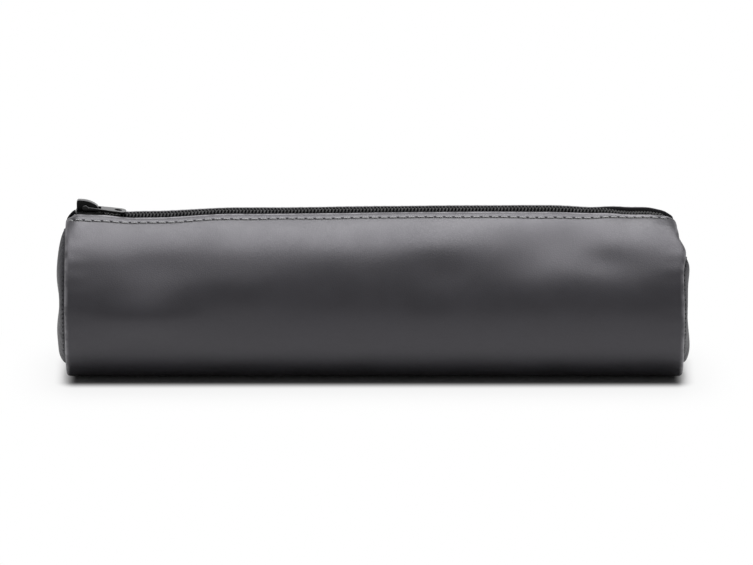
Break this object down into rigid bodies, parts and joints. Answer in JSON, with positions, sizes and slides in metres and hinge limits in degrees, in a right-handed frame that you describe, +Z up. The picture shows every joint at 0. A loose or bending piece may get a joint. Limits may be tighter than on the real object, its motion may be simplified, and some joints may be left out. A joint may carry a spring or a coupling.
{
  "type": "round pencil case",
  "caption": "Soft leather pencil case: a round tube lying on its side, with sewn-in end discs, a fabric lining and a coil zip along the top whose slider opens the mouth.",
  "frame": {"origin": "on the ground under the middle of the case", "axes": "+X along the tube from the slider's closed end to the other end, -Y to the front, +Z up"},
  "size_m": [0.2022, 0.053, 0.0572],
  "materials": {
    "leather": "smooth satin charcoal leather with a fine grain",
    "lining": "plain woven dark grey lining cloth",
    "zip_tape": "black woven zip tape",
    "zip_coil": "black nylon monofilament",
    "slider_metal": "gloss black lacquered zinc",
    "spring_steel": "thin bright spring steel"
  },
  "bodies": {
    "case": {"body_panel": "leather", "body_lining": "lining", "left_end_panel": "leather", "right_end_panel": "leather", "left_end_lining": "lining", "right_end_lining": "lining"},
    "front_lip": {"front_lip": "leather", "front_lip_lining": "lining", "front_zip_tape": "zip_tape", "front_zip_coil": "zip_coil"},
    "rear_lip": {"rear_lip": "leather", "rear_lip_lining": "lining", "rear_zip_tape": "zip_tape", "rear_zip_coil": "zip_coil"},
    "slider": {"slider_body": "slider_metal", "slider_crown": "slider_metal", "slider_lock_spring": "spring_steel"},
    "puller": {"slider_puller": "slider_metal"}
  },
  "joints": [
    {"name": "slider_travel", "type": "slide", "parent": "case", "child": "slider", "axis": [1, 0, 0], "range_m": [0, 0.176], "deforming": ["front_zip_tape", "rear_zip_tape", "front_zip_coil", "rear_zip_coil"]},
    {"name": "puller_swing", "type": "hinge", "parent": "slider", "child": "puller", "pos_m": [-0.0925, 0, 0.05465], "axis": [0, -1, 0], "range_deg": [0, 165], "deforming": ["slider_lock_spring"]},
    {"name": "front_lip_fold", "type": "hinge", "parent": "case", "child": "front_lip", "pos_m": [0, -0.02402, 0.0372], "axis": [1, 0, 0], "range_deg": [0, 35]},
    {"name": "rear_lip_fold", "type": "hinge", "parent": "case", "child": "rear_lip", "pos_m": [0, 0.02402, 0.0372], "axis": [-1, 0, 0], "range_deg": [0, 35]}
  ],
  "couplings": [
    {"joint": "front_lip_fold", "follows": "slider_travel", "rad_per_m": 3.47},
    {"joint": "rear_lip_fold", "follows": "slider_travel", "rad_per_m": 3.47}
  ]
}
